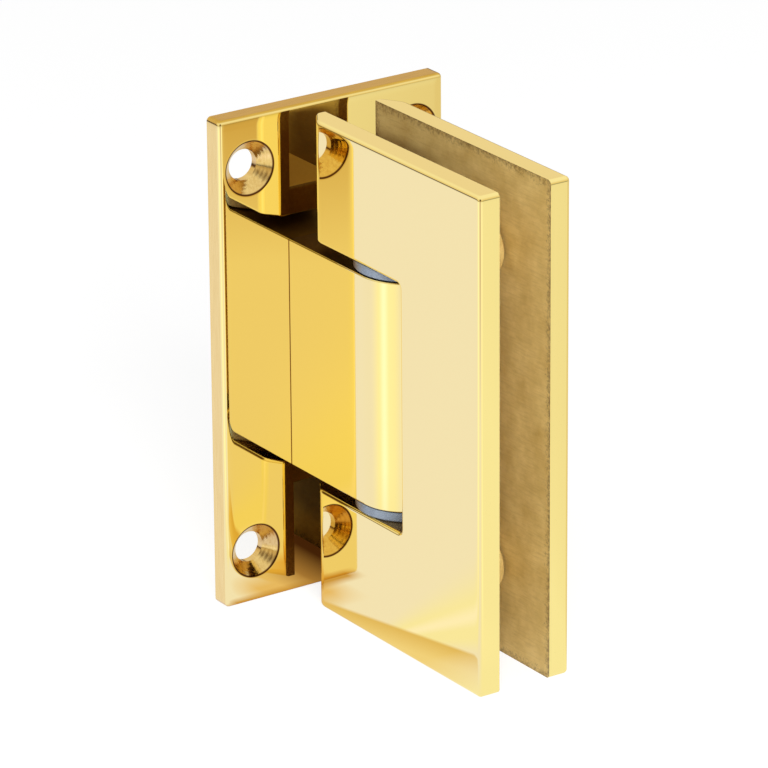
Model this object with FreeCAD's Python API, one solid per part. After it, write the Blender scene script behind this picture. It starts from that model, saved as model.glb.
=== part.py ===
# Shower door hinge: a wall plate and pivot block, with a glass clamp that swings on a vertical pin.
# Sizes in millimetres. X runs away from the wall, Y along the wall, Z up.
# The origin is the centre of the wall plate's back face.

import FreeCAD, Part
import math
import os

# Wall plate
wall_plate_height = 90.0
wall_plate_width = 46.5
wall_plate_thickness = 3.7
wall_plate_corner = 0.8
wall_screw_spacing_across = 34.0
wall_screw_spacing_up = 71.0
wall_screw_hole = 5.6
wall_screw_countersink = 9.7
wall_screw_angle = 82.0

# Glass clamp
clamp_height = 90.0
clamp_plate_thickness = 4.05
glass_thickness = 8.0
gasket_thickness = 1.2
clamp_tail = 16.9            # pin axis to the wall-side end
clamp_reach = 34.55          # pin axis to the free end
clamp_corner = 0.8
end_bevel_length = 3.2       # along the plate from its wall-side end
end_bevel_depth = 2.1        # from the outer face towards the glass
end_bevel_blend = 3.0
notch_mouth_radius = 0.5
notch_corner_radius = 1.0
notch_end_gap = 1.9          # washer rim to the end of the notch
lug_thickness = 5.0
lug_setback = 0.65           # lug face behind the plate's wall-side end
lug_edge_radius = 0.6
boss_diameter = 9.6
boss_gap = 1.6               # end of the notch to the boss
boss_spacing = 57.6
boss_nip = 0.4               # left open so that the screws can grip the glass
boss_edge = 0.4

# Pivot block
pivot_distance = 22.6        # wall plate front to the pin axis
block_height = 42.0
block_edge_radius = 0.25
block_seat_break = 0.15      # leaves a fine line where the block meets the wall plate
bore_wall = 2.0              # metal left between the bores

# Pin and washers
pin_diameter = 7.0
pin_flat_depth = 0.4
pin_end_chamfer = 0.5
pin_recess = 0.4             # pin end below the lug's outer face
washer_diameter = 18.4
washer_thickness = 1.6
washer_edge = 0.2

# Closing detents: a sprung plunger above and below the middle of the block
plunger_diameter = 7.0
plunger_length = 8.0
plunger_chamfer = 0.5
spigot_diameter = 4.2
spigot_length = 3.0
spring_diameter = 6.5
spring_wire = 1.0
spring_turns = 4.5

# Fasteners
block_screw_inset = 5.0      # block's end to the screw's axis
block_screw_diameter = 5.0
block_screw_hole = 5.3
block_screw_head = 9.4
block_screw_length = 14.0
block_screw_socket = 3.0
block_screw_socket_depth = 1.9
clamp_screw_diameter = 6.0
clamp_screw_hole = 6.4
clamp_screw_head = 11.5
clamp_screw_length = 12.0
clamp_screw_socket = 4.0
clamp_screw_socket_depth = 2.3
grub_screw_diameter = 3.0
grub_screw_length = 4.0
grub_screw_recess = 0.2      # screw below the lug's rear face
grub_screw_socket = 1.5
grub_screw_socket_depth = 1.6
screw_head_angle = 90.0
screw_head_sink = 0.15
screw_tip_chamfer = 0.4
tapped_hole_extra = 1.0      # tapped depth beyond the screw's tip

# Fits and finish
pin_running_clearance = 0.06
pin_slip_clearance = 0.03
washer_bore_clearance = 0.1
washer_running_gap = 0.2
plunger_clearance = 0.06
plunger_pin_gap = 0.05
thread_clearance = 0.03
head_seat_clearance = 0.03
polished_edge_radius = 0.7
cut_over = 1.0               # how far cutters stand out of a face

# Positions that follow from the sizes above
wall_front = wall_plate_thickness
pin_x = wall_front + pivot_distance
pin_radius = pin_diameter / 2
pin_flat_x = pin_x - pin_radius + pin_flat_depth
clamp_gap = glass_thickness + 2 * gasket_thickness
gap_half = clamp_gap / 2
hinge_half = gap_half + clamp_plate_thickness
nose_x = pin_x + hinge_half
block_half = block_height / 2
notch_half = block_half + washer_running_gap + washer_thickness
tail_x = pin_x - clamp_tail
free_x = pin_x + clamp_reach
notch_x = pin_x + washer_diameter / 2 + notch_end_gap
lug_x = tail_x + lug_setback
lug_top = notch_half + lug_thickness
lug_middle = notch_half + lug_thickness / 2
boss_x = notch_x + boss_gap + boss_diameter / 2
block_screw_z = block_half - block_screw_inset
plunger_z = block_screw_z - block_screw_diameter / 2 - bore_wall - plunger_diameter / 2
plunger_nose_x = pin_x - pin_radius - plunger_pin_gap
plunger_back_x = plunger_nose_x - plunger_length

# Rotations that stand a profile drawn flat in X and Y up along the wall or across it
flat = FreeCAD.Rotation()
along_xz = FreeCAD.Rotation(FreeCAD.Vector(1, 0, 0), 90)
along_yz = FreeCAD.Rotation(FreeCAD.Vector(1, 1, 1), 120)
to_x = FreeCAD.Vector(1, 0, 0)
to_y = FreeCAD.Vector(0, 1, 0)
to_z = FreeCAD.Vector(0, 0, 1)


def at(x, y, z):
    return FreeCAD.Vector(x, y, z)


def profile(corners, rotation, offset):
    """A face bounded by straight sides, each (u, v, radius) corner rounded by its own radius."""
    points = [at(u, v, 0) for u, v, radius in corners]
    bends = []
    for k, (u, v, radius) in enumerate(corners):
        back = (points[k - 1] - points[k]).normalize()
        ahead = (points[(k + 1) % len(points)] - points[k]).normalize()
        inward = (back + ahead).normalize()
        half = back.getAngle(ahead) / 2
        start = points[k] + back * (radius / math.tan(half))
        middle = points[k] + inward * (radius / math.sin(half) - radius)
        end = points[k] + ahead * (radius / math.tan(half))
        bends.append((start, middle, end))
    edges = []
    for k, (start, middle, end) in enumerate(bends):
        if not start.isEqual(end, 0):
            edges.append(Part.Arc(start, middle, end).toShape())
        next_start = bends[(k + 1) % len(bends)][0]
        if not end.isEqual(next_start, 0.001):
            edges.append(Part.makeLine(end, next_start))
    face = Part.Face(Part.Wire(edges))
    face.Placement = FreeCAD.Placement(offset, rotation)
    return face


def turned(points, seat, inward):
    """A solid of revolution from (radius, depth) points, its axis starting at seat and running inward."""
    loop = [at(radius, 0, depth) for radius, depth in points]
    solid = Part.Face(Part.makePolygon(loop + loop[:1])).revolve(at(0, 0, 0), to_z, 360)
    solid.Placement = FreeCAD.Placement(seat, FreeCAD.Rotation(to_z, inward))
    return solid


def soften(solid, radius, wanted):
    """Rounds every edge that wanted picks."""
    return solid.makeFillet(radius, [edge for edge in solid.Edges if wanted(edge.BoundBox)])


def near(a, b):
    return abs(a - b) < 0.001


def countersunk_hole(hole, countersink, angle, depth, seat, inward):
    """Cutter for a hole with a conical mouth at the face that seat lies on."""
    slope = math.tan(math.radians(angle / 2))
    mouth = countersink / 2
    wall = hole / 2
    points = [(0, -cut_over), (mouth + cut_over * slope, -cut_over), (wall, (mouth - wall) / slope)]
    points = points + [(wall, depth), (0, depth)]
    return turned(points, seat, inward)


def hexagon_socket(across_flats, depth, seat, inward):
    """Cutter for a hexagon key, from the face that seat lies on."""
    corner = across_flats / math.sqrt(3)
    turns = [math.radians(60 * k) for k in range(7)]
    loop = [at(corner * math.cos(turn), corner * math.sin(turn), 0) for turn in turns]
    prism = Part.Face(Part.makePolygon(loop)).extrude(at(0, 0, depth))
    prism.Placement = FreeCAD.Placement(seat, FreeCAD.Rotation(to_z, inward))
    return prism


def countersunk_screw(diameter, head, length, socket, socket_depth, seat, inward):
    """Flat-headed socket screw that sits just below the face that seat lies on."""
    slope = math.tan(math.radians(screw_head_angle / 2))
    mouth = head / 2 - head_seat_clearance
    shank = diameter / 2
    points = [(0, screw_head_sink), (mouth - screw_head_sink * slope, screw_head_sink)]
    points = points + [(shank, (mouth - shank) / slope), (shank, length - screw_tip_chamfer)]
    points = points + [(shank - screw_tip_chamfer, length), (0, length)]
    screw = turned(points, seat, inward)
    return screw.cut(hexagon_socket(socket, socket_depth, seat + inward * screw_head_sink, inward))


def wall_plate():
    half_width = wall_plate_width / 2
    half_height = wall_plate_height / 2
    corners = [(-half_width, -half_height, wall_plate_corner), (half_width, -half_height, wall_plate_corner)]
    corners = corners + [(half_width, half_height, wall_plate_corner)]
    corners = corners + [(-half_width, half_height, wall_plate_corner)]
    plate = profile(corners, along_yz, at(0, 0, 0)).extrude(to_x * wall_plate_thickness)
    plate = soften(plate, polished_edge_radius, lambda box: near(box.XMin, wall_front))
    depth = wall_plate_thickness + cut_over
    for across in (-wall_screw_spacing_across / 2, wall_screw_spacing_across / 2):
        for up in (-wall_screw_spacing_up / 2, wall_screw_spacing_up / 2):
            seat = at(wall_front, across, up)
            plate = plate.cut(countersunk_hole(
                wall_screw_hole, wall_screw_countersink, wall_screw_angle, depth, seat, -to_x))
    for up in (-block_screw_z, block_screw_z):
        plate = plate.cut(countersunk_hole(
            block_screw_hole, block_screw_head, screw_head_angle, depth, at(0, 0, up), to_x))
    return plate


def pivot_block():
    """The nose is a half round about the pin, so that the clamp's notch passes it at every angle."""
    corners = [(wall_front, -hinge_half, 0), (nose_x, -hinge_half, hinge_half)]
    corners = corners + [(nose_x, hinge_half, hinge_half), (wall_front, hinge_half, 0)]
    block = profile(corners, flat, at(0, 0, -block_half)).extrude(to_z * block_height)

    def end_edge(box):
        return near(box.ZMin, box.ZMax) and not near(box.XMax, wall_front)

    block = soften(block, block_edge_radius, end_edge)
    for side in (-hinge_half, hinge_half):
        diamond = [(wall_front + block_seat_break, side, 0), (wall_front, side + block_seat_break, 0)]
        diamond = diamond + [(wall_front - block_seat_break, side, 0)]
        diamond = diamond + [(wall_front, side - block_seat_break, 0)]
        block = block.cut(profile(diamond, flat, at(0, 0, -block_half)).extrude(to_z * block_height))
    bore_radius = pin_radius + pin_running_clearance
    block = block.cut(Part.makeCylinder(bore_radius, block_height, at(pin_x, 0, -block_half), to_z))
    for up in (-plunger_z, plunger_z):
        guide_radius = plunger_diameter / 2 + plunger_clearance
        block = block.cut(Part.makeCylinder(guide_radius, pivot_distance, at(wall_front, 0, up), to_x))
    for up in (-block_screw_z, block_screw_z):
        tapped_radius = block_screw_diameter / 2 + thread_clearance
        depth = block_screw_length - wall_plate_thickness + tapped_hole_extra
        block = block.cut(Part.makeCylinder(tapped_radius, depth, at(wall_front, 0, up), to_x))
    return block


def clamp_plate(side):
    """One plate of the clamp, side -1 in front of the glass and +1 behind it."""
    inner = side * gap_half
    outer = side * hinge_half
    bevel_x = tail_x + end_bevel_length
    bevel_y = outer - side * end_bevel_depth
    corners = [(tail_x, inner, 0), (tail_x, bevel_y, 0), (bevel_x, outer, end_bevel_blend)]
    corners = corners + [(free_x, outer, 0), (free_x, inner, 0)]
    half_height = clamp_height / 2
    plate = profile(corners, flat, at(0, 0, -half_height)).extrude(to_z * clamp_height)
    outline = [(tail_x, -half_height, 0), (free_x, -half_height, clamp_corner)]
    outline = outline + [(free_x, half_height, clamp_corner), (tail_x, half_height, 0)]
    through = to_y * (-2 * (hinge_half + cut_over))
    beyond_rear_plate = at(0, hinge_half + cut_over, 0)
    plate = plate.common(profile(outline, along_xz, beyond_rear_plate).extrude(through))
    mouth_x = tail_x - cut_over
    mouth_z = notch_half + notch_mouth_radius + cut_over
    upper = [(notch_x, notch_half, notch_corner_radius), (tail_x, notch_half, notch_mouth_radius)]
    upper = upper + [(tail_x, mouth_z, 0)]
    lower = [(u, -v, radius) for u, v, radius in reversed(upper)]
    notch_corners = lower + upper + [(mouth_x, mouth_z, 0), (mouth_x, -mouth_z, 0)]
    plate = plate.cut(profile(notch_corners, along_xz, beyond_rear_plate).extrude(through))
    rim_x = bevel_x + end_bevel_blend

    # The bevel's blend meets the outer face smoothly, so that seam is left out
    def on_outer_rim(box):
        level = near(box.YMin, outer) and near(box.YMax, outer)
        return level and box.XMax > rim_x

    return soften(plate, polished_edge_radius, on_outer_rim)


def grub_screw_hole(way):
    """Cutter from the lug's rear face into the pin, which the screw's tip then locks."""
    radius = grub_screw_diameter / 2 + thread_clearance
    start = at(pin_x, gap_half + cut_over, way * lug_middle)
    return Part.makeCylinder(radius, cut_over + grub_screw_recess + grub_screw_length, start, -to_y)


def front_clamp_plate():
    plate = clamp_plate(-1)
    for way in (-1, 1):
        lug_corners = [(lug_x, way * notch_half, 0), (notch_x, way * notch_half, 0)]
        lug_corners = lug_corners + [(notch_x, way * lug_top, lug_edge_radius)]
        lug_corners = lug_corners + [(lug_x, way * lug_top, lug_edge_radius)]
        lug = profile(lug_corners, along_xz, at(0, -gap_half, 0)).extrude(to_y * clamp_gap)
        boss_centre = at(boss_x, -gap_half, way * boss_spacing / 2)
        boss_radius = boss_diameter / 2
        boss_length = clamp_gap - boss_nip
        boss_points = [(0, 0), (boss_radius, 0), (boss_radius, boss_length - boss_edge)]
        boss_points = boss_points + [(boss_radius - boss_edge, boss_length), (0, boss_length)]
        boss = turned(boss_points, boss_centre, to_y)
        plate = plate.fuse([lug, boss])
    for way in (-1, 1):
        pin_hole = Part.makeCylinder(
            pin_radius + pin_slip_clearance, lug_top - notch_half + 2 * cut_over,
            at(pin_x, 0, way * (notch_half - cut_over)), to_z * way)
        thread_reach = clamp_screw_length - clamp_plate_thickness + tapped_hole_extra
        clamp_screw_tapping = Part.makeCylinder(
            clamp_screw_diameter / 2 + thread_clearance, thread_reach,
            at(boss_x, gap_half, way * boss_spacing / 2), -to_y)
        plate = plate.cut([pin_hole, grub_screw_hole(way), clamp_screw_tapping])
    return plate.removeSplitter()


def rear_clamp_plate():
    plate = clamp_plate(1)
    for up in (-boss_spacing / 2, boss_spacing / 2):
        plate = plate.cut(countersunk_hole(
            clamp_screw_hole, clamp_screw_head, screw_head_angle, clamp_plate_thickness + cut_over,
            at(boss_x, hinge_half, up), -to_y))
    return plate


def block_screws():
    seats = [at(0, 0, up) for up in (-block_screw_z, block_screw_z)]
    return Part.makeCompound([countersunk_screw(
        block_screw_diameter, block_screw_head, block_screw_length,
        block_screw_socket, block_screw_socket_depth, seat, to_x) for seat in seats])


def clamp_screws():
    seats = [at(boss_x, hinge_half, up) for up in (-boss_spacing / 2, boss_spacing / 2)]
    return Part.makeCompound([countersunk_screw(
        clamp_screw_diameter, clamp_screw_head, clamp_screw_length,
        clamp_screw_socket, clamp_screw_socket_depth, seat, -to_y) for seat in seats])


def pivot_pin():
    length = 2 * (lug_top - pin_recess)
    points = [(0, 0), (pin_radius - pin_end_chamfer, 0), (pin_radius, pin_end_chamfer)]
    points = points + [(pin_radius, length - pin_end_chamfer), (pin_radius - pin_end_chamfer, length)]
    points = points + [(0, length)]
    pin = turned(points, at(pin_x, 0, -length / 2), to_z)
    waste_corner = at(pin_flat_x - pin_radius, -pin_radius, -length / 2)
    waste = Part.makeBox(pin_radius, pin_diameter, length, waste_corner)
    return pin.cut([waste, grub_screw_hole(-1), grub_screw_hole(1)])


def pin_grub_screws():
    screws = []
    radius = grub_screw_diameter / 2
    points = [(0, 0), (radius - screw_tip_chamfer, 0), (radius, screw_tip_chamfer)]
    points = points + [(radius, grub_screw_length - screw_tip_chamfer)]
    points = points + [(radius - screw_tip_chamfer, grub_screw_length), (0, grub_screw_length)]
    for way in (-1, 1):
        seat = at(pin_x, gap_half - grub_screw_recess, way * lug_middle)
        socket = hexagon_socket(grub_screw_socket, grub_screw_socket_depth, seat, -to_y)
        screws.append(turned(points, seat, -to_y).cut(socket))
    return Part.makeCompound(screws)


def washer(way):
    bore = pin_radius + washer_bore_clearance
    rim = washer_diameter / 2
    points = [(bore, 0), (rim - washer_edge, 0), (rim, washer_edge), (rim, washer_thickness - washer_edge)]
    points = points + [(rim - washer_edge, washer_thickness), (bore, washer_thickness)]
    return turned(points, at(pin_x, 0, way * notch_half), to_z * -way)


def detent_plunger(way):
    radius = plunger_diameter / 2
    spigot_radius = spigot_diameter / 2
    overall = plunger_length + spigot_length
    points = [(0, 0), (radius - plunger_chamfer, 0), (radius, plunger_chamfer), (radius, plunger_length)]
    points = points + [(spigot_radius, plunger_length), (spigot_radius, overall), (0, overall)]
    return turned(points, at(plunger_nose_x, 0, way * plunger_z), -to_x)


def detent_spring(way):
    """Square-wire compression spring from the wall plate's front to the plunger's shoulder."""
    length = plunger_back_x - wall_front - spring_wire
    coil_radius = (spring_diameter - spring_wire) / 2
    half_wire = spring_wire / 2
    path = Part.Wire(Part.makeHelix(length / spring_turns, length, coil_radius))
    corners = [(-1, -1), (1, -1), (1, 1), (-1, 1), (-1, -1)]
    section = [at(coil_radius + u * half_wire, 0, v * half_wire) for u, v in corners]
    spring = path.makePipeShell([Part.makePolygon(section)], True, True)
    seat = at(wall_front + half_wire, 0, way * plunger_z)
    spring.Placement = FreeCAD.Placement(seat, FreeCAD.Rotation(to_z, to_x))
    return spring


pieces = {
    "wall_plate": wall_plate(),
    "pivot_block": pivot_block(),
    "block_screws": block_screws(),
    "front_clamp_plate": front_clamp_plate(),
    "rear_clamp_plate": rear_clamp_plate(),
    "clamp_screws": clamp_screws(),
    "pivot_pin": pivot_pin(),
    "pin_grub_screws": pin_grub_screws(),
    "upper_washer": washer(1),
    "lower_washer": washer(-1),
    "upper_detent_plunger": detent_plunger(1),
    "lower_detent_plunger": detent_plunger(-1),
    "upper_detent_spring": detent_spring(1),
    "lower_detent_spring": detent_spring(-1),
}

os.makedirs("parts", exist_ok=True)
for name, shape in pieces.items():
    shape.exportStep("parts/" + name + ".step")
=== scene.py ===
import math
import bpy
from mathutils import Matrix, Vector


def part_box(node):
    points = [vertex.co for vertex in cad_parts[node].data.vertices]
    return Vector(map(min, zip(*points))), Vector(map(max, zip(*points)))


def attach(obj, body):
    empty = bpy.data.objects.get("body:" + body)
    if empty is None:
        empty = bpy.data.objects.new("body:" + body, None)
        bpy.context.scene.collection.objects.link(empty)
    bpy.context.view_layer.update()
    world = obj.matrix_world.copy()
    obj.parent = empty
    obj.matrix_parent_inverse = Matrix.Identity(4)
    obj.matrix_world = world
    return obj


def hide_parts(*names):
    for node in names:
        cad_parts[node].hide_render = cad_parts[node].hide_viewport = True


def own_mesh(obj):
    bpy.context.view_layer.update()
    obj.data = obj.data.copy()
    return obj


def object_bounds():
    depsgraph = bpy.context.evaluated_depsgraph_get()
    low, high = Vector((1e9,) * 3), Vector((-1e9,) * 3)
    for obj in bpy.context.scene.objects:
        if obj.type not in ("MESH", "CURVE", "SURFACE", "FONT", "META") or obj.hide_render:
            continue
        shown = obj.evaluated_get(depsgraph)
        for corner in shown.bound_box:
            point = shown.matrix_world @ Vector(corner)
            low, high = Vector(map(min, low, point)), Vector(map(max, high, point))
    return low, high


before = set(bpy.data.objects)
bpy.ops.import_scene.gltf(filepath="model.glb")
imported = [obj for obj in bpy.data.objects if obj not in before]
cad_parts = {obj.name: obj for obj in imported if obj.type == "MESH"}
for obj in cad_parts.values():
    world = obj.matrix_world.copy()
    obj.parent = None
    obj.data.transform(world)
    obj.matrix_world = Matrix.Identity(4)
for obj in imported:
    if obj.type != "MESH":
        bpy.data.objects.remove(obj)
cad_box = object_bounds()


# Wall plate: the flat back plate that four countersunk screws hold to the wall. It is cut from brass bar,
# linished on its narrow faces and buffed to a mirror on its broad ones. A cutter turns the countersinks.
def linear(hex_colour):
    """Linear colour with alpha from an sRGB hex value."""
    parts = [int(hex_colour[k:k + 2], 16) / 255 for k in (1, 3, 5)]
    return [p / 12.92 if p <= 0.04045 else ((p + 0.055) / 1.055) ** 2.4 for p in parts] + [1.0]


def add(tree, kind, inputs, output=None, **settings):
    """Adds a node with its settings, gives each input a value or a link, and returns one output."""
    node = tree.nodes.new(kind)
    for name, value in settings.items():
        setattr(node, name, value)
    for name, value in inputs.items():
        if isinstance(value, bpy.types.NodeSocket):
            tree.links.new(value, node.inputs[name])
        else:
            node.inputs[name].default_value = value
    return node.outputs[output] if output else next(socket for socket in node.outputs if socket.enabled)


def start_material(name):
    """A new material with its tree and shader, and the place on the piece in mm."""
    material = bpy.data.materials.new(name)
    material.use_nodes = True
    tree = material.node_tree
    place = add(tree, "ShaderNodeTexCoord", {}, "Object")
    mm = add(tree, "ShaderNodeVectorMath", {0: place, "Scale": 1000.0}, operation="SCALE")
    return material, tree, tree.nodes["Principled BSDF"], mm


def dress(piece, material):
    """Gives a CAD piece its finish."""
    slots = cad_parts[piece].data.materials
    slots.clear()
    slots.append(material)


def box_mm(piece):
    """Lowest and highest corner of a CAD piece in mm."""
    return [[1000 * length for length in corner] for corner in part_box(piece)]


def buffed_roughness(tree, mm):
    """The faint uneven haze that a buffing mop, about 12 mm wide where it touches, leaves on a mirror."""
    mop_width = 12.0
    clearest, haziest = 0.01, 0.04
    haze = add(tree, "ShaderNodeTexNoise", {"Vector": mm, "Scale": 1 / mop_width, "Detail": 4.0})
    return add(tree, "ShaderNodeMapRange", {
        "Value": haze, "From Min": 0.3, "From Max": 0.7, "To Min": clearest, "To Max": haziest})


def mop_roll(tree, from_edge, reach, drop):
    """Height in mm that the mop takes off near an edge, steeper and steeper towards it."""
    steepness = 3.0
    nearness = add(tree, "ShaderNodeMapRange", {"Value": from_edge, "From Min": reach, "From Max": 0.0})
    steep = add(tree, "ShaderNodeMath", {0: nearness, 1: steepness}, operation="POWER")
    return add(tree, "ShaderNodeMath", {0: steep, 1: -drop}, operation="MULTIPLY")


# Buffed brass: a clear yellow mirror at one bounce and a deep gold at two.
# Patterns and places in a finish are in mm. Meshes, lamps and the camera are in metres.
buffed_brass = "#FAE595"
metre_per_mm = 0.001
plate_half_width, plate_half_height = box_mm("wall_plate")[1][1:]
block_half_width, block_half_height = box_mm("pivot_block")[1][1:]
screw_half_across = 17.0
screw_half_up = 35.5
countersink_radius = 4.85
least_off_back = -0.5

plate_brass, tree, shader, mm = start_material("buffed_brass_plate")
shader.inputs["Metallic"].default_value = 1.0
across = add(tree, "ShaderNodeSeparateXYZ", {"Vector": mm}, "Y")
up = add(tree, "ShaderNodeSeparateXYZ", {"Vector": mm}, "Z")
from_middle = add(tree, "ShaderNodeMath", {0: across}, operation="ABSOLUTE")
from_centre = add(tree, "ShaderNodeMath", {0: up}, operation="ABSOLUTE")
facing = add(tree, "ShaderNodeTexCoord", {}, "Normal")
outward = add(tree, "ShaderNodeSeparateXYZ", {"Vector": facing}, "X")
upward = add(tree, "ShaderNodeSeparateXYZ", {"Vector": facing}, "Z")
off_back = add(tree, "ShaderNodeMath", {0: outward, 1: least_off_back}, operation="GREATER_THAN")

# Linished narrow faces: fine grain that runs along the edge, browner on the top and bottom ends
linish_grit = 0.22
linish_stretch = 0.06
linish_roughness = 0.16
narrow_start, narrow_full = 0.3, 0.1
end_edge_start, end_edge_full = 0.45, 0.7
broad = add(tree, "ShaderNodeMath", {0: outward}, operation="ABSOLUTE")
narrow = add(tree, "ShaderNodeMapRange", {
    "Value": broad, "From Min": narrow_start, "From Max": narrow_full})
ends = add(tree, "ShaderNodeMath", {0: upward}, operation="ABSOLUTE")
end_edge = add(tree, "ShaderNodeMapRange", {
    "Value": ends, "From Min": end_edge_start, "From Max": end_edge_full})
narrow = add(tree, "ShaderNodeMath", {0: narrow, 1: end_edge}, operation="MAXIMUM")
along_grain = add(tree, "ShaderNodeVectorMath", {
    0: mm, 1: (1.0, linish_stretch, linish_stretch)}, operation="MULTIPLY")
grain = add(tree, "ShaderNodeTexNoise", {"Vector": along_grain, "Scale": 1 / linish_grit, "Detail": 3.0})
end_tint = add(tree, "ShaderNodeMix", {
    "Factor": grain, "A": linear("#BA8B26"), "B": linear("#DDB03A")}, data_type="RGBA")
side_tint = add(tree, "ShaderNodeMix", {
    "Factor": grain, "A": linear("#ECC870"), "B": linear("#FADF8C")}, data_type="RGBA")
linished = add(tree, "ShaderNodeMix", {"Factor": ends, "A": side_tint, "B": end_tint}, data_type="RGBA")
tint = add(tree, "ShaderNodeMix", {
    "Factor": narrow, "A": linear(buffed_brass), "B": linished}, data_type="RGBA")
polish = add(tree, "ShaderNodeMix", {
    "Factor": narrow, "A": buffed_roughness(tree, mm), "B": linish_roughness})

# Turned countersinks: rings from the cutter, drawn coarser than real to show, and a dark line at the mouth
ring_spacing = 0.5
ring_depth = 0.0025
chatter_marks_per_mm = 2.2
chatter_depth = 0.014
turned_roughness = 0.12
mouth_blend = 0.02
mouth_line_width = 0.1
mouth_line_fade = 0.12
hole_across = add(tree, "ShaderNodeMath", {0: from_middle, 1: screw_half_across}, operation="SUBTRACT")
hole_up = add(tree, "ShaderNodeMath", {0: from_centre, 1: screw_half_up}, operation="SUBTRACT")
from_hole = add(tree, "ShaderNodeCombineXYZ", {"X": hole_across, "Y": hole_up})
radius = add(tree, "ShaderNodeVectorMath", {0: from_hole}, "Value", operation="LENGTH")
from_mouth = add(tree, "ShaderNodeMath", {0: radius, 1: countersink_radius}, operation="SUBTRACT")
turned = add(tree, "ShaderNodeMapRange", {
    "Value": from_mouth, "From Min": mouth_blend, "From Max": -mouth_blend})
turned = add(tree, "ShaderNodeMath", {0: turned, 1: off_back}, operation="MULTIPLY")
ring_phase = add(tree, "ShaderNodeMath", {0: radius, 1: 2 * math.pi / ring_spacing}, operation="MULTIPLY")
rings = add(tree, "ShaderNodeMath", {0: ring_phase}, operation="SINE")
round_hole = add(tree, "ShaderNodeMath", {0: hole_up, 1: hole_across}, operation="ARCTAN2")
chatter_place = add(tree, "ShaderNodeCombineXYZ", {"X": round_hole, "Y": radius, "Z": across})
chatter = add(tree, "ShaderNodeTexNoise", {
    "Vector": chatter_place, "Scale": chatter_marks_per_mm, "Detail": 5.0, "Roughness": 0.7})
cut_tint = add(tree, "ShaderNodeMix", {
    "Factor": chatter, "A": linear("#C49440"), "B": linear("#FCE196")}, data_type="RGBA")
tint = add(tree, "ShaderNodeMix", {"Factor": turned, "A": tint, "B": cut_tint}, data_type="RGBA")
polish = add(tree, "ShaderNodeMix", {"Factor": turned, "A": polish, "B": turned_roughness})
beside_mouth = add(tree, "ShaderNodeMath", {0: from_mouth}, operation="ABSOLUTE")
mouth_line = add(tree, "ShaderNodeMapRange", {
    "Value": beside_mouth, "From Min": mouth_line_width + mouth_line_fade, "From Max": mouth_line_width})
mouth_line = add(tree, "ShaderNodeMath", {0: mouth_line, 1: off_back}, operation="MULTIPLY")
tint = add(tree, "ShaderNodeMix", {"Factor": mouth_line, "A": tint, "B": linear("#5A3414")}, data_type="RGBA")

# A thin dark line runs in the corner where the pivot block stands on the plate
dark_line_width = 0.06
dark_line_fade = 0.08
from_block = add(tree, "ShaderNodeMath", {0: from_middle, 1: block_half_width}, operation="SUBTRACT")
by_block = add(tree, "ShaderNodeMapRange", {
    "Value": from_block, "From Min": dark_line_width + dark_line_fade, "From Max": dark_line_width})
at_block = add(tree, "ShaderNodeMath", {0: from_centre, 1: block_half_height}, operation="LESS_THAN")
dark_corner_line = add(tree, "ShaderNodeMath", {0: by_block, 1: at_block}, operation="MULTIPLY")
dark_corner_line = add(tree, "ShaderNodeMath", {0: dark_corner_line, 1: off_back}, operation="MULTIPLY")
tint = add(tree, "ShaderNodeMix", {"Factor": dark_corner_line, "A": tint, "B": linear("#94641E")}, data_type="RGBA")
tree.links.new(tint, shader.inputs["Base Color"])
tree.links.new(polish, shader.inputs["Roughness"])

# The mop rolls over the plate's edges and the countersinks' mouths, so reflections bend there
plate_roll_reach, plate_roll_drop = 2.2, 0.16
mouth_roll_reach, mouth_roll_drop = 0.5, 0.02
from_side = add(tree, "ShaderNodeMath", {0: plate_half_width, 1: from_middle}, operation="SUBTRACT")
from_end = add(tree, "ShaderNodeMath", {0: plate_half_height, 1: from_centre}, operation="SUBTRACT")
side_roll = mop_roll(tree, from_side, plate_roll_reach, plate_roll_drop)
end_roll = mop_roll(tree, from_end, plate_roll_reach, plate_roll_drop)
mouth_roll = mop_roll(tree, from_mouth, mouth_roll_reach, mouth_roll_drop)
mouth_roll = add(tree, "ShaderNodeMath", {0: mouth_roll, 1: off_back}, operation="MULTIPLY")
rolled = add(tree, "ShaderNodeMath", {0: side_roll, 1: end_roll}, operation="ADD")
rolled = add(tree, "ShaderNodeMath", {0: rolled, 1: mouth_roll}, operation="ADD")
ring_height = add(tree, "ShaderNodeMath", {0: rings, 1: ring_depth}, operation="MULTIPLY")
chatter_height = add(tree, "ShaderNodeMath", {0: chatter, 1: chatter_depth}, operation="MULTIPLY")
cut_height = add(tree, "ShaderNodeMath", {0: ring_height, 1: chatter_height}, operation="ADD")
cut_height = add(tree, "ShaderNodeMath", {0: cut_height, 1: turned}, operation="MULTIPLY")
height = add(tree, "ShaderNodeMath", {0: rolled, 1: cut_height}, operation="ADD")
bent = add(tree, "ShaderNodeBump", {"Height": height, "Distance": metre_per_mm})
tree.links.new(bent, shader.inputs["Normal"])
dress("wall_plate", plate_brass)
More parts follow.
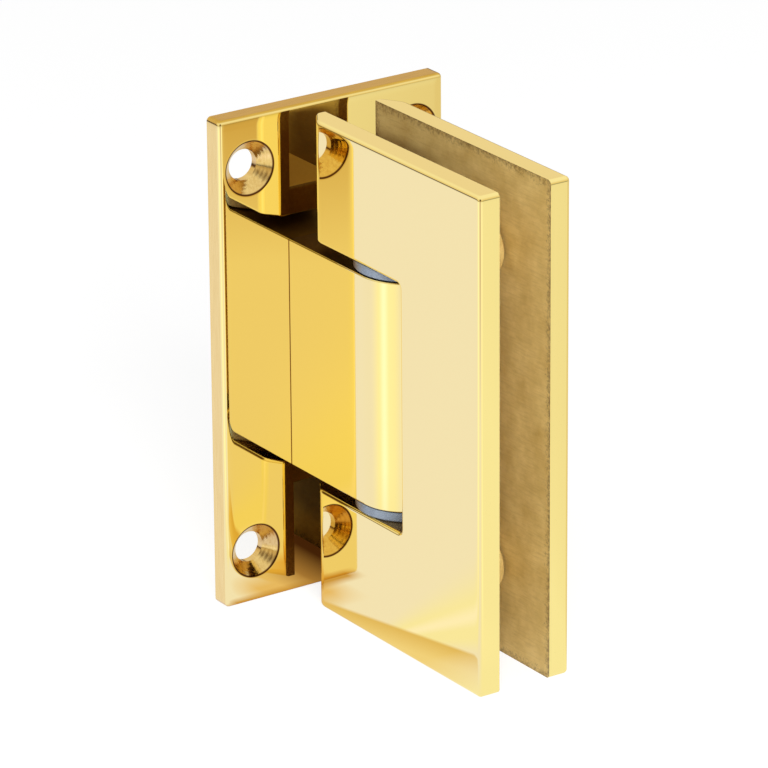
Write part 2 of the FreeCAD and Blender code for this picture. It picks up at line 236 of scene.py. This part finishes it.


# Pivot block: machined from brass bar with a half-round nose, and screwed to the wall plate from behind.
# Its sides and nose are buffed. Its ends, under the washers, stay raw and are browned with painted shade.
def raw_brass(tree, mm, from_edge):
    """Colour of unpolished brass: mottled tan with faint wisps, and dark specks that crowd to the edges."""
    blotch_size = 5.0
    wisp_width = 0.35
    wisp_slant = math.radians(14)
    wisp_stretch = 0.1
    wisp_strength = 0.2
    speck_size = 0.5
    speck_reach = 3.4
    speck_strength = 0.65
    blotch = add(tree, "ShaderNodeTexNoise", {
        "Vector": mm, "Scale": 1 / blotch_size, "Detail": 6.0, "Roughness": 0.6})
    blotch = add(tree, "ShaderNodeMapRange", {"Value": blotch, "From Min": 0.25, "From Max": 0.75})
    tone = add(tree, "ShaderNodeMix", {
        "Factor": blotch, "A": linear("#BF9F58"), "B": linear("#E4C982")}, data_type="RGBA")
    slanted = add(tree, "ShaderNodeMapping", {
        "Vector": mm, "Rotation": (0.0, wisp_slant, 0.0), "Scale": (wisp_stretch, 1.0, 1.0)})
    wisps = add(tree, "ShaderNodeTexNoise", {
        "Vector": slanted, "Scale": 1 / wisp_width, "Detail": 4.0, "Distortion": 0.6})
    wisps = add(tree, "ShaderNodeMapRange", {
        "Value": wisps, "From Min": 0.45, "From Max": 0.7, "To Max": wisp_strength})
    tone = add(tree, "ShaderNodeMix", {"Factor": wisps, "A": tone, "B": linear("#8A6530")}, data_type="RGBA")
    specks = add(tree, "ShaderNodeTexNoise", {
        "Vector": mm, "Scale": 1 / speck_size, "Detail": 5.0, "Roughness": 0.7})
    thinning = add(tree, "ShaderNodeMapRange", {
        "Value": from_edge, "From Max": speck_reach, "To Min": -0.03, "To Max": 0.5})
    specks = add(tree, "ShaderNodeMath", {0: specks, 1: thinning}, operation="SUBTRACT")
    specks = add(tree, "ShaderNodeMapRange", {
        "Value": specks, "From Min": 0.34, "From Max": 0.6, "To Max": speck_strength})
    return add(tree, "ShaderNodeMix", {
        "Factor": specks, "A": tone, "B": linear("#4A3014")}, data_type="RGBA")


block_shade_cover = 0.7
raw_end_roughness = 0.4
block_brass, tree, shader, mm = start_material("buffed_brass_block")
shader.inputs["Metallic"].default_value = 1.0
facing = add(tree, "ShaderNodeTexCoord", {}, "Normal")
upward = add(tree, "ShaderNodeSeparateXYZ", {"Vector": facing}, "Z")
ends = add(tree, "ShaderNodeMath", {0: upward}, operation="ABSOLUTE")
raw = add(tree, "ShaderNodeMapRange", {"Value": ends, "From Min": 0.9, "From Max": 0.97})
across = add(tree, "ShaderNodeSeparateXYZ", {"Vector": mm}, "Y")
from_middle = add(tree, "ShaderNodeMath", {0: across}, operation="ABSOLUTE")
from_edge = add(tree, "ShaderNodeMath", {0: block_half_width, 1: from_middle}, operation="SUBTRACT")
# Painted shade browns the raw ends, which lie under the washers and lugs
painted_shade = add(tree, "ShaderNodeMix", {
    "Factor": block_shade_cover, "A": raw_brass(tree, mm, from_edge), "B": linear("#5A2C14")}, data_type="RGBA")
tint = add(tree, "ShaderNodeMix", {
    "Factor": raw, "A": linear(buffed_brass), "B": painted_shade}, data_type="RGBA")
polish = add(tree, "ShaderNodeMix", {
    "Factor": raw, "A": buffed_roughness(tree, mm), "B": raw_end_roughness})
tree.links.new(tint, shader.inputs["Base Color"])
tree.links.new(polish, shader.inputs["Roughness"])
dress("pivot_block", block_brass)


# Glass clamp: a cast brass front plate with its pin lugs and bosses, and a flat rear plate that two screws
# pull up to it. The outsides are buffed. The faces that the glass hides are left dull, wispy and stained.
# Deep in the gap the dull faces are also darkened with painted shade
clamp_tail = box_mm("front_clamp_plate")[0][0]
clamp_free_end = box_mm("front_clamp_plate")[1][0]
clamp_half_height = box_mm("front_clamp_plate")[1][2]
gap_half = box_mm("rear_clamp_plate")[0][1]
notch_half = box_mm("upper_washer")[1][2]


def clamp_brass(name, side):
    """Buffed outside and raw on what faces the glass, with side -1 for the front plate and 1 for the rear."""
    material, tree, shader, mm = start_material(name)
    along = add(tree, "ShaderNodeSeparateXYZ", {"Vector": mm}, "X")
    across = add(tree, "ShaderNodeSeparateXYZ", {"Vector": mm}, "Y")
    up = add(tree, "ShaderNodeSeparateXYZ", {"Vector": mm}, "Z")
    from_centre = add(tree, "ShaderNodeMath", {0: up}, operation="ABSOLUTE")
    facing = add(tree, "ShaderNodeTexCoord", {}, "Normal")
    upward = add(tree, "ShaderNodeSeparateXYZ", {"Vector": facing}, "Z")

    # Raw where the surface lies inside the gap, and on the ends that face the wall, where no mop reaches
    inside_margin = 0.01
    notch_margin = 0.05
    least_to_wall = 0.95
    outward = add(tree, "ShaderNodeMath", {0: across, 1: side}, operation="MULTIPLY")
    inside = add(tree, "ShaderNodeMath", {0: outward, 1: gap_half + inside_margin}, operation="LESS_THAN")
    to_wall = add(tree, "ShaderNodeVectorMath", {
        0: facing, 1: (-1.0, 0.0, 0.0)}, "Value", operation="DOT_PRODUCT")
    faces_wall = add(tree, "ShaderNodeMath", {0: to_wall, 1: least_to_wall}, operation="GREATER_THAN")
    in_notch = add(tree, "ShaderNodeMath", {
        0: from_centre, 1: notch_half + notch_margin}, operation="LESS_THAN")
    past_notch = add(tree, "ShaderNodeMath", {0: 1.0, 1: in_notch}, operation="SUBTRACT")
    wall_end = add(tree, "ShaderNodeMath", {0: faces_wall, 1: past_notch}, operation="MULTIPLY")
    raw = add(tree, "ShaderNodeMath", {0: inside, 1: wall_end}, operation="MAXIMUM")

    # Distance to the nearest edge of the plate, for the stain and the mop's roll
    from_end = add(tree, "ShaderNodeMath", {0: clamp_half_height, 1: from_centre}, operation="SUBTRACT")
    from_free_end = add(tree, "ShaderNodeMath", {0: clamp_free_end, 1: along}, operation="SUBTRACT")
    from_tail = add(tree, "ShaderNodeMath", {0: along, 1: clamp_tail}, operation="SUBTRACT")
    from_edge = add(tree, "ShaderNodeMath", {0: from_end, 1: from_free_end}, operation="MINIMUM")
    from_edge = add(tree, "ShaderNodeMath", {0: from_edge, 1: from_tail}, operation="MINIMUM")

    # Painted shade darkens raw brass away from the free end and round the pin; painted light pales lug tops
    gap_shade_start, gap_shade_full, gap_shade_cover = 14.0, 52.0, 0.34
    pin_shade_start, pin_shade_full, pin_shade_cover = 32.0, 21.0, 0.72
    lit_rim, lit_rim_end = 3.5, 8.0
    least_upward = 0.9
    raw_roughness = 0.55
    dull = raw_brass(tree, mm, from_edge)
    # Painted shade: the raw brass darkens deeper into the gap, away from the open free end
    gap_shade = add(tree, "ShaderNodeMapRange", {
        "Value": from_free_end, "From Min": gap_shade_start, "From Max": gap_shade_full, "To Max": gap_shade_cover})
    dull = add(tree, "ShaderNodeMix", {"Factor": gap_shade, "A": dull, "B": linear("#6C461C")}, data_type="RGBA")
    # Painted shade browns it most round the pin, and less towards the top and bottom rims
    by_pin = add(tree, "ShaderNodeMapRange", {
        "Value": along, "From Min": pin_shade_start, "From Max": pin_shade_full, "To Max": pin_shade_cover},
        interpolation_type="SMOOTHSTEP")
    below_end = add(tree, "ShaderNodeMapRange", {
        "Value": from_end, "From Min": lit_rim, "From Max": lit_rim_end},
        interpolation_type="SMOOTHSTEP")
    pin_shade = add(tree, "ShaderNodeMath", {0: by_pin, 1: below_end}, operation="MULTIPLY")
    dull = add(tree, "ShaderNodeMix", {"Factor": pin_shade, "A": dull, "B": linear("#4E2210")}, data_type="RGBA")
    # Painted light: upward raw faces, the tops of the lugs, are paler
    lit_lug_top = add(tree, "ShaderNodeMath", {0: upward, 1: least_upward}, operation="GREATER_THAN")
    dull = add(tree, "ShaderNodeMix", {
        "Factor": lit_lug_top, "A": dull, "B": linear("#D2A65A")}, data_type="RGBA")
    tint = add(tree, "ShaderNodeMix", {"Factor": raw, "A": linear(buffed_brass), "B": dull}, data_type="RGBA")
    polish = add(tree, "ShaderNodeMix", {
        "Factor": raw, "A": buffed_roughness(tree, mm), "B": raw_roughness})

    # The notch's flat walls are only linished, with streaks along them
    streak_width = 0.5
    streak_stretch = 0.04
    notch_roughness = 0.2
    level = add(tree, "ShaderNodeMath", {0: upward}, operation="ABSOLUTE")
    level = add(tree, "ShaderNodeMapRange", {"Value": level, "From Min": 0.9, "From Max": 0.97})
    level_or_end = add(tree, "ShaderNodeMath", {0: level, 1: faces_wall}, operation="MAXIMUM")
    notch_wall = add(tree, "ShaderNodeMath", {0: level_or_end, 1: in_notch}, operation="MULTIPLY")
    along_wall = add(tree, "ShaderNodeVectorMath", {
        0: mm, 1: (streak_stretch, 1.0, 1.0)}, operation="MULTIPLY")
    streaks = add(tree, "ShaderNodeTexNoise", {
        "Vector": along_wall, "Scale": 1 / streak_width, "Detail": 2.0})
    streak_tint = add(tree, "ShaderNodeMix", {
        "Factor": streaks, "A": linear("#6E4A1C"), "B": linear("#D8AE5E")}, data_type="RGBA")
    tint = add(tree, "ShaderNodeMix", {"Factor": notch_wall, "A": tint, "B": streak_tint}, data_type="RGBA")
    polish = add(tree, "ShaderNodeMix", {"Factor": notch_wall, "A": polish, "B": notch_roughness})

    # Painted shade browns the ends next to the wall
    wall_end_shade_cover = 0.62
    wall_end_shade = add(tree, "ShaderNodeMath", {0: wall_end, 1: wall_end_shade_cover}, operation="MULTIPLY")
    tint = add(tree, "ShaderNodeMix", {"Factor": wall_end_shade, "A": tint, "B": linear("#6C380A")}, data_type="RGBA")
    tree.links.new(tint, shader.inputs["Base Color"])
    tree.links.new(polish, shader.inputs["Roughness"])

    # The oxide skin on raw brass scatters light as well as reflecting it
    metal_under_oxide = 0.2
    bare_metal = add(tree, "ShaderNodeMix", {"Factor": raw, "A": 1.0, "B": metal_under_oxide})
    tree.links.new(bare_metal, shader.inputs["Metallic"])

    # Raw brass has the casting's shallow pits, and the buffed edges are rolled by the mop
    pit_size = 0.8
    pit_depth = 0.08
    roll_reach, roll_drop = 2.0, 0.08
    pits = add(tree, "ShaderNodeTexNoise", {"Vector": mm, "Scale": 1 / pit_size, "Detail": 5.0})
    pit_height = add(tree, "ShaderNodeMath", {0: pits, 1: pit_depth}, operation="MULTIPLY")
    end_roll = mop_roll(tree, from_end, roll_reach, roll_drop)
    free_end_roll = mop_roll(tree, from_free_end, roll_reach, roll_drop)
    rolled = add(tree, "ShaderNodeMath", {0: end_roll, 1: free_end_roll}, operation="ADD")
    height = add(tree, "ShaderNodeMix", {"Factor": raw, "A": rolled, "B": pit_height})
    uneven = add(tree, "ShaderNodeBump", {"Height": height, "Distance": metre_per_mm})
    tree.links.new(uneven, shader.inputs["Normal"])
    return material


dress("front_clamp_plate", clamp_brass("cast_brass_front_clamp", -1.0))
dress("rear_clamp_plate", clamp_brass("cast_brass_rear_clamp", 1.0))


# Washers: moulded grey acetal rings that keep the lugs from rubbing the block.
# The satin skin gives a soft bluish line in the gap, with no mirror in it.
# Painted shade, warmed by light bounced off the brass, browns the side that faces the wall.
flow_width = 0.9
flow_stretch = 0.15
washer_acetal, tree, shader, mm = start_material("moulded_grey_acetal")
shader.inputs["Roughness"].default_value = 0.42
flow_lines = add(tree, "ShaderNodeVectorMath", {0: mm, 1: (1.0, 1.0, flow_stretch)}, operation="MULTIPLY")
flow = add(tree, "ShaderNodeTexNoise", {"Vector": flow_lines, "Scale": 1 / flow_width, "Detail": 3.0})
washer_tint = add(tree, "ShaderNodeMix", {
    "Factor": flow, "A": linear("#66707C"), "B": linear("#8A95A3")}, data_type="RGBA")
# Painted shade and bounce light brown the side facing the wall
facing = add(tree, "ShaderNodeTexCoord", {}, "Normal")
to_wall = add(tree, "ShaderNodeVectorMath", {
    0: facing, 1: (-1.0, 0.0, 0.0)}, "Value", operation="DOT_PRODUCT")
painted_shade = add(tree, "ShaderNodeMapRange", {"Value": to_wall, "From Max": 0.4, "To Max": 0.85})
washer_tint = add(tree, "ShaderNodeMix", {
    "Factor": painted_shade, "A": washer_tint, "B": linear("#7C5C34")}, data_type="RGBA")
tree.links.new(washer_tint, shader.inputs["Base Color"])
for piece in ("upper_washer", "lower_washer"):
    dress(piece, washer_acetal)


# Pin, plungers and hidden screws: turned stainless steel, held in the block, the lugs and the wall plate.
# The lathe leaves a fine uneven grain, which gives them a grey sheen.
lathe_feed = 0.2
steel, tree, shader, mm = start_material("turned_stainless_steel")
shader.inputs["Metallic"].default_value = 1.0
lathe = add(tree, "ShaderNodeTexNoise", {"Vector": mm, "Scale": 1 / lathe_feed, "Detail": 2.0})
steel_tint = add(tree, "ShaderNodeMix", {
    "Factor": lathe, "A": linear("#B4B4B1"), "B": linear("#D6D6D2")}, data_type="RGBA")
tree.links.new(steel_tint, shader.inputs["Base Color"])
steel_polish = add(tree, "ShaderNodeMapRange", {"Value": lathe, "To Min": 0.18, "To Max": 0.35})
tree.links.new(steel_polish, shader.inputs["Roughness"])
for piece in ("pivot_pin", "pin_grub_screws", "block_screws", "upper_detent_plunger", "lower_detent_plunger"):
    dress(piece, steel)


# Detent springs: square steel wire wound round each plunger's spigot, against the front of the wall plate.
# The wire is oiled, so it is darker than the pin, with faint marks from drawing.
draw_mark = 0.3
spring_steel, tree, shader, mm = start_material("oiled_spring_steel")
shader.inputs["Metallic"].default_value = 1.0
shader.inputs["Roughness"].default_value = 0.35
draw_marks = add(tree, "ShaderNodeTexNoise", {"Vector": mm, "Scale": 1 / draw_mark, "Detail": 3.0})
wire_tint = add(tree, "ShaderNodeMix", {
    "Factor": draw_marks, "A": linear("#6F6E6C"), "B": linear("#9A9996")}, data_type="RGBA")
tree.links.new(wire_tint, shader.inputs["Base Color"])
for end in ("upper", "lower"):
    coil = bpy.data.objects.new(end + "_spring_coil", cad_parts[end + "_detent_spring"].data.copy())
    bpy.context.scene.collection.objects.link(coil)
    coil.data.materials.clear()
    coil.data.materials.append(spring_steel)
    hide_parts(end + "_detent_spring")
    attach(coil, "wall_side")
    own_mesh(coil)


# Clamp screws: steel socket screws plated to match the brass, countersunk in the rear plate.
# Thin plating over a rolled head gives a paler, slightly grained yellow.
plating_grain = 0.25
plated, tree, shader, mm = start_material("brass_plated_steel")
shader.inputs["Metallic"].default_value = 1.0
grain = add(tree, "ShaderNodeTexNoise", {"Vector": mm, "Scale": 1 / plating_grain, "Detail": 3.0})
plated_tint = add(tree, "ShaderNodeMix", {
    "Factor": grain, "A": linear("#E6CB86"), "B": linear("#F6E3A4")}, data_type="RGBA")
tree.links.new(plated_tint, shader.inputs["Base Color"])
plated_polish = add(tree, "ShaderNodeMapRange", {"Value": grain, "To Min": 0.1, "To Max": 0.2})
tree.links.new(plated_polish, shader.inputs["Roughness"])
dress("clamp_screws", plated)


# Floor: a white acrylic light table. The camera sees white with the hinge's soft shadow on it. The metal sees
# its pale glow, cool in front and warm behind, with a bright pool either side and shade by the hinge's foot.
floor_size = 6.0
bpy.ops.mesh.primitive_plane_add(size=floor_size, location=(0, 0, cad_box[0][2]))
floor = bpy.context.object
floor.name = "light_table"
table_acrylic, tree, shader, mm = start_material("white_acrylic_table")
shader.inputs["Roughness"].default_value = 0.9
shader.inputs["Specular IOR Level"].default_value = 0.0

# Places on the table are given by their distance and bearing from the hinge, in mm and degrees from +X
hinge_middle = (30.0, -5.0, 0.0)
from_hinge = add(tree, "ShaderNodeVectorMath", {0: mm, 1: hinge_middle}, operation="SUBTRACT")
reach = add(tree, "ShaderNodeVectorMath", {0: from_hinge}, "Value", operation="LENGTH")
ahead = add(tree, "ShaderNodeSeparateXYZ", {"Vector": from_hinge}, "X")
across = add(tree, "ShaderNodeSeparateXYZ", {"Vector": from_hinge}, "Y")
bearing = add(tree, "ShaderNodeMath", {0: across, 1: ahead}, operation="ARCTAN2")
bearing = add(tree, "ShaderNodeMath", {0: bearing}, operation="DEGREES")


def beside(centre, outer, inner, most=1.0):
    """How near a bearing from the hinge is to a centre, from 0 at the outer angle to most at the inner."""
    off = add(tree, "ShaderNodeMath", {0: bearing, 1: centre}, operation="SUBTRACT")
    off = add(tree, "ShaderNodeMath", {0: off}, operation="ABSOLUTE")
    return add(tree, "ShaderNodeMapRange", {
        "Value": off, "From Min": outer, "From Max": inner, "To Max": most}, interpolation_type="SMOOTHSTEP")


# The table's tint is neutral round the left pool of light and on the right, and warm and dim behind
left_pool_bearing = -86.0
right_start, right_full = -28.0, -5.0
back_start, back_full = 28.0, 46.0
left_back_start, left_back_full = -152.0, -176.0
to_right = add(tree, "ShaderNodeMapRange", {
    "Value": bearing, "From Min": right_start, "From Max": right_full})
round_left_pool = beside(centre=-80.0, outer=40.0, inner=15.0)
neutral = add(tree, "ShaderNodeMath", {0: round_left_pool, 1: to_right}, operation="MAXIMUM")
in_left_pool = beside(centre=left_pool_bearing, outer=13.0, inner=0.0)
to_back = add(tree, "ShaderNodeMapRange", {"Value": bearing, "From Min": back_start, "From Max": back_full})
to_left_back = add(tree, "ShaderNodeMapRange", {
    "Value": bearing, "From Min": left_back_start, "From Max": left_back_full})
to_back = add(tree, "ShaderNodeMath", {0: to_back, 1: to_left_back}, operation="MAXIMUM")

# The camera's shade lies across the far part of the table, on the camera's side
shade_start, shade_full = 150.0, 240.0
by_camera = beside(centre=-35.0, outer=20.0, inner=6.0)
far_out = add(tree, "ShaderNodeMapRange", {"Value": reach, "From Min": shade_start, "From Max": shade_full})
shaded = add(tree, "ShaderNodeMath", {0: by_camera, 1: far_out}, operation="MULTIPLY")

# Close to its foot the hinge tints the table gold, up to a line at a slant to the front plate
# This gold is painted light bounced off the brass, with painted shade close to the foot
slant_way = (-0.24, -1.0, 0.0)
gold_edge = 7.8
gold_edge_fade = 1.0
pale_gold, deep_gold = 2.0, 8.0
gold_end, gold_full = 28.0, 12.0
foot_reach, foot_full = 50.0, 36.0
wall_back, wall_front = -31.0, -27.0
slant = add(tree, "ShaderNodeVectorMath", {0: mm, 1: slant_way}, "Value", operation="DOT_PRODUCT")
behind_line = add(tree, "ShaderNodeMapRange", {
    "Value": slant, "From Min": gold_edge + gold_edge_fade, "From Max": gold_edge})
before_end = add(tree, "ShaderNodeMapRange", {"Value": ahead, "From Min": gold_end, "From Max": gold_full})
by_foot = add(tree, "ShaderNodeMapRange", {"Value": reach, "From Min": foot_reach, "From Max": foot_full})
before_wall = add(tree, "ShaderNodeMapRange", {"Value": ahead, "From Min": wall_back, "From Max": wall_front})
near_foot = add(tree, "ShaderNodeMath", {0: before_end, 1: by_foot}, operation="MULTIPLY")
near_foot = add(tree, "ShaderNodeMath", {0: near_foot, 1: before_wall}, operation="MULTIPLY")
painted_gold_bounce = add(tree, "ShaderNodeMath", {0: behind_line, 1: near_foot}, operation="MULTIPLY")
by_line = add(tree, "ShaderNodeMapRange", {"Value": slant, "From Min": pale_gold, "From Max": deep_gold})
gold = add(tree, "ShaderNodeMix", {
    "Factor": by_line, "A": linear("#D8CBB2"), "B": linear("#CAB384")}, data_type="RGBA")

# Painted shade makes the corner by the wall plate browner, and brownest in a strip along the plate's foot
corner_end, corner_full = -15.0, -22.0
corner_side, corner_side_full = -14.0, -9.0
strip_end, strip_full = -23.5, -26.0
strip_past_plate, strip_inside_plate = 0.5, 2.5
by_wall = add(tree, "ShaderNodeMapRange", {"Value": ahead, "From Min": corner_end, "From Max": corner_full})
in_front = add(tree, "ShaderNodeMapRange", {
    "Value": across, "From Min": corner_side, "From Max": corner_side_full})
corner = add(tree, "ShaderNodeMath", {0: by_wall, 1: in_front}, operation="MULTIPLY")
corner = add(tree, "ShaderNodeMath", {0: corner, 1: before_wall}, operation="MULTIPLY")
at_wall = add(tree, "ShaderNodeMapRange", {"Value": ahead, "From Min": strip_end, "From Max": strip_full})
from_middle = add(tree, "ShaderNodeSeparateXYZ", {"Vector": mm}, "Y")
from_middle = add(tree, "ShaderNodeMath", {0: from_middle}, operation="ABSOLUTE")
along_plate = add(tree, "ShaderNodeMapRange", {
    "Value": from_middle, "From Min": plate_half_width + strip_past_plate,
    "From Max": plate_half_width - strip_inside_plate})
contact_shadow = add(tree, "ShaderNodeMath", {0: at_wall, 1: before_wall}, operation="MULTIPLY")
contact_shadow = add(tree, "ShaderNodeMath", {0: contact_shadow, 1: along_plate}, operation="MULTIPLY")

# Under the clamp, next to the wall plate, it is in shade, and darkest under the gap for the glass
under_start, under_full = -5.0, 1.0
deep_start, deep_full = 0.0, 8.0
rear_end, rear_full = 18.0, 12.0
plate_end, plate_full = 8.0, -6.0
underneath = add(tree, "ShaderNodeMapRange", {
    "Value": across, "From Min": under_start, "From Max": under_full})
deep = add(tree, "ShaderNodeMapRange", {"Value": across, "From Min": deep_start, "From Max": deep_full})
before_rear = add(tree, "ShaderNodeMapRange", {"Value": across, "From Min": rear_end, "From Max": rear_full})
by_plate = add(tree, "ShaderNodeMapRange", {"Value": ahead, "From Min": plate_end, "From Max": plate_full})
covered = add(tree, "ShaderNodeMath", {0: before_rear, 1: painted_gold_bounce}, operation="MULTIPLY")
covered = add(tree, "ShaderNodeMath", {0: covered, 1: by_plate}, operation="MULTIPLY")
in_shade = add(tree, "ShaderNodeMath", {0: underneath, 1: covered}, operation="MULTIPLY")
in_gap = add(tree, "ShaderNodeMath", {0: deep, 1: covered}, operation="MULTIPLY")

# Each tint lies over the ones before it, on the cool tint of the table in front
glow = linear("#DADCFF")
tints = (
    (neutral, linear("#DFE1E0")), (in_left_pool, linear("#E4E6FF")), (to_back, linear("#CBC2AE")),
    (shaded, linear("#BFB0AB")), (painted_gold_bounce, gold), (corner, linear("#CFB490")), (contact_shadow, linear("#B8935C")),
    (in_shade, linear("#997750")), (in_gap, linear("#3A2010")))
for cover, tint in tints:
    glow = add(tree, "ShaderNodeMix", {"Factor": cover, "A": glow, "B": tint}, data_type="RGBA")

# Pools of light on the left and the right, and a slow fall in brightness towards the table's edge
level = 1.35
pool_start, pool_full = 40.0, 80.0
front_edge_level, back_edge_level = 0.25, 0.8
fade_start, fade_end = 260.0, 1000.0
clear_of_foot = add(tree, "ShaderNodeMapRange", {
    "Value": reach, "From Min": pool_start, "From Max": pool_full})
pools = ((left_pool_bearing, 14.0, 0.12), (-82.0, 45.0, 0.15), (4.0, 15.0, 0.25))
for centre, half_angle, gain in pools:
    pool = beside(centre, outer=half_angle, inner=0.0, most=gain)
    pool = add(tree, "ShaderNodeMath", {0: pool, 1: clear_of_foot}, operation="MULTIPLY")
    level = add(tree, "ShaderNodeMath", {0: level, 1: pool}, operation="ADD")
edge_level = add(tree, "ShaderNodeMix", {"Factor": to_back, "A": front_edge_level, "B": back_edge_level})
fading = add(tree, "ShaderNodeMapRange", {
    "Value": reach, "From Min": fade_start, "From Max": fade_end, "To Min": 1.0, "To Max": edge_level},
    interpolation_type="SMOOTHSTEP")
level = add(tree, "ShaderNodeMath", {0: level, 1: fading}, operation="MULTIPLY")

# Metal sees only the glow, and the camera sees a grey sheet that a lift brings up to white round the shadow
shadow_lift = 0.76
seen = add(tree, "ShaderNodeLightPath", {}, "Is Camera Ray")
mirrored = add(tree, "ShaderNodeLightPath", {}, "Is Glossy Ray")
through = add(tree, "ShaderNodeLightPath", {}, "Is Transmission Ray")
mirrored = add(tree, "ShaderNodeMath", {0: mirrored, 1: through}, operation="MAXIMUM")
sheet = add(tree, "ShaderNodeMix", {
    "Factor": seen, "A": linear("#F4F4F4"), "B": linear("#A0A0A0")}, data_type="RGBA")
sheet = add(tree, "ShaderNodeMix", {"Factor": mirrored, "A": sheet, "B": linear("#000000")}, data_type="RGBA")
glow = add(tree, "ShaderNodeMix", {"Factor": seen, "A": glow, "B": linear("#FFFFFF")}, data_type="RGBA")
lift = add(tree, "ShaderNodeMath", {0: seen, 1: shadow_lift}, operation="MULTIPLY")
strength = add(tree, "ShaderNodeMix", {"Factor": mirrored, "A": lift, "B": level})
tree.links.new(sheet, shader.inputs["Base Color"])
tree.links.new(glow, shader.inputs["Emission Color"])
tree.links.new(strength, shader.inputs["Emission Strength"])
floor.data.materials.append(table_acrylic)


# Light: an even white tent with two softboxes, one either side of the camera. Metal sees the tent's dark
# skirt behind the wall plate and the dark opening for the camera, which draw thin dark lines along its edges.
side_turn, wall_turn = -0.2, -0.6
skirt_start, skirt_end = 0.04, 0.26
roof_start, roof_full = 0.36, 0.7
world = bpy.data.worlds.new("white_tent")
bpy.context.scene.world = world
world.use_nodes = True
tree = world.node_tree
direction = add(tree, "ShaderNodeTexCoord", {}, "Generated")
height = add(tree, "ShaderNodeSeparateXYZ", {"Vector": direction}, "Z")
ahead = add(tree, "ShaderNodeSeparateXYZ", {"Vector": direction}, "X")
to_wall = add(tree, "ShaderNodeMapRange", {"Value": ahead, "From Min": side_turn, "From Max": wall_turn})
skirt = add(tree, "ShaderNodeMix", {
    "Factor": to_wall, "A": linear("#D8C8A6"), "B": linear("#54301A")}, data_type="RGBA")
rise = add(tree, "ShaderNodeMapRange", {
    "Value": height, "From Min": skirt_start, "From Max": skirt_end}, interpolation_type="SMOOTHSTEP")
roof = add(tree, "ShaderNodeMapRange", {"Value": height, "From Min": roof_start, "From Max": roof_full})
wall = add(tree, "ShaderNodeMix", {"Factor": rise, "A": skirt, "B": linear("#F2E7D2")}, data_type="RGBA")
tent = add(tree, "ShaderNodeMix", {"Factor": roof, "A": wall, "B": linear("#FFFFFF")}, data_type="RGBA")

# The opening is round and centred on the camera, and it fades between two angles from its centre
azimuth = math.radians(55.77)
elevation = math.radians(21.28)
camera_way = Vector((math.sin(azimuth) * math.cos(elevation), -math.cos(azimuth) * math.cos(elevation),
                     math.sin(elevation)))
opening_edge = math.cos(math.radians(28))
opening_dark = math.cos(math.radians(12))
to_camera = add(tree, "ShaderNodeVectorMath", {
    0: direction, 1: camera_way}, "Value", operation="DOT_PRODUCT")
opening = add(tree, "ShaderNodeMapRange", {
    "Value": to_camera, "From Min": opening_edge, "From Max": opening_dark})
tent = add(tree, "ShaderNodeMix", {"Factor": opening, "A": tent, "B": linear("#5A4630")}, data_type="RGBA")
mirrored = add(tree, "ShaderNodeLightPath", {}, "Is Glossy Ray")
through = add(tree, "ShaderNodeLightPath", {}, "Is Transmission Ray")
mirrored = add(tree, "ShaderNodeMath", {0: mirrored, 1: through}, operation="MAXIMUM")
seen = add(tree, "ShaderNodeLightPath", {}, "Is Camera Ray")
plain = add(tree, "ShaderNodeMix", {
    "Factor": seen, "A": linear("#A0A0A0"), "B": linear("#FFFFFF")}, data_type="RGBA")
shown = add(tree, "ShaderNodeMix", {"Factor": mirrored, "A": plain, "B": tent}, data_type="RGBA")
tree.links.new(shown, tree.nodes["Background"].inputs["Color"])

# The softboxes only fill in light, because the metal sees the tent instead of them
softbox_size = 0.7
softboxes = (("left_softbox", (0.2, -0.8, 0.75), 2.0), ("right_softbox", (0.95, -0.45, 0.5), 16.0))
for name, place, watts in softboxes:
    lamp = bpy.data.lights.new(name, "AREA")
    lamp.energy = watts
    lamp.size = softbox_size
    softbox = bpy.data.objects.new(name, lamp)
    softbox.location = place
    softbox.visible_glossy = False
    softbox.rotation_euler = (-softbox.location).to_track_quat("-Z", "Y").to_euler()
    bpy.context.scene.collection.objects.link(softbox)


# Camera: a long lens at the photograph's viewing angle, rolled by less than half a degree.
# It stands about a metre off, to the right of the clamp and above it.
roll = math.radians(-0.42)
distance = 1.0363
aim = Vector((0.0086, 0.0071, -0.0080))
right = Vector((math.cos(azimuth), math.sin(azimuth), 0.0))
turn = Matrix((right, camera_way.cross(right), camera_way)).transposed().to_4x4()
turn = turn @ Matrix.Rotation(roll, 4, "Z")
camera = bpy.data.cameras.new("camera")
camera.sensor_width = 36.0
camera.lens = 277.0
camera_object = bpy.data.objects.new("camera", camera)
camera_object.matrix_world = Matrix.Translation(aim + camera_way * distance) @ turn
bpy.context.scene.collection.objects.link(camera_object)
bpy.context.scene.camera = camera_object
bpy.context.scene.view_settings.view_transform = "Standard"
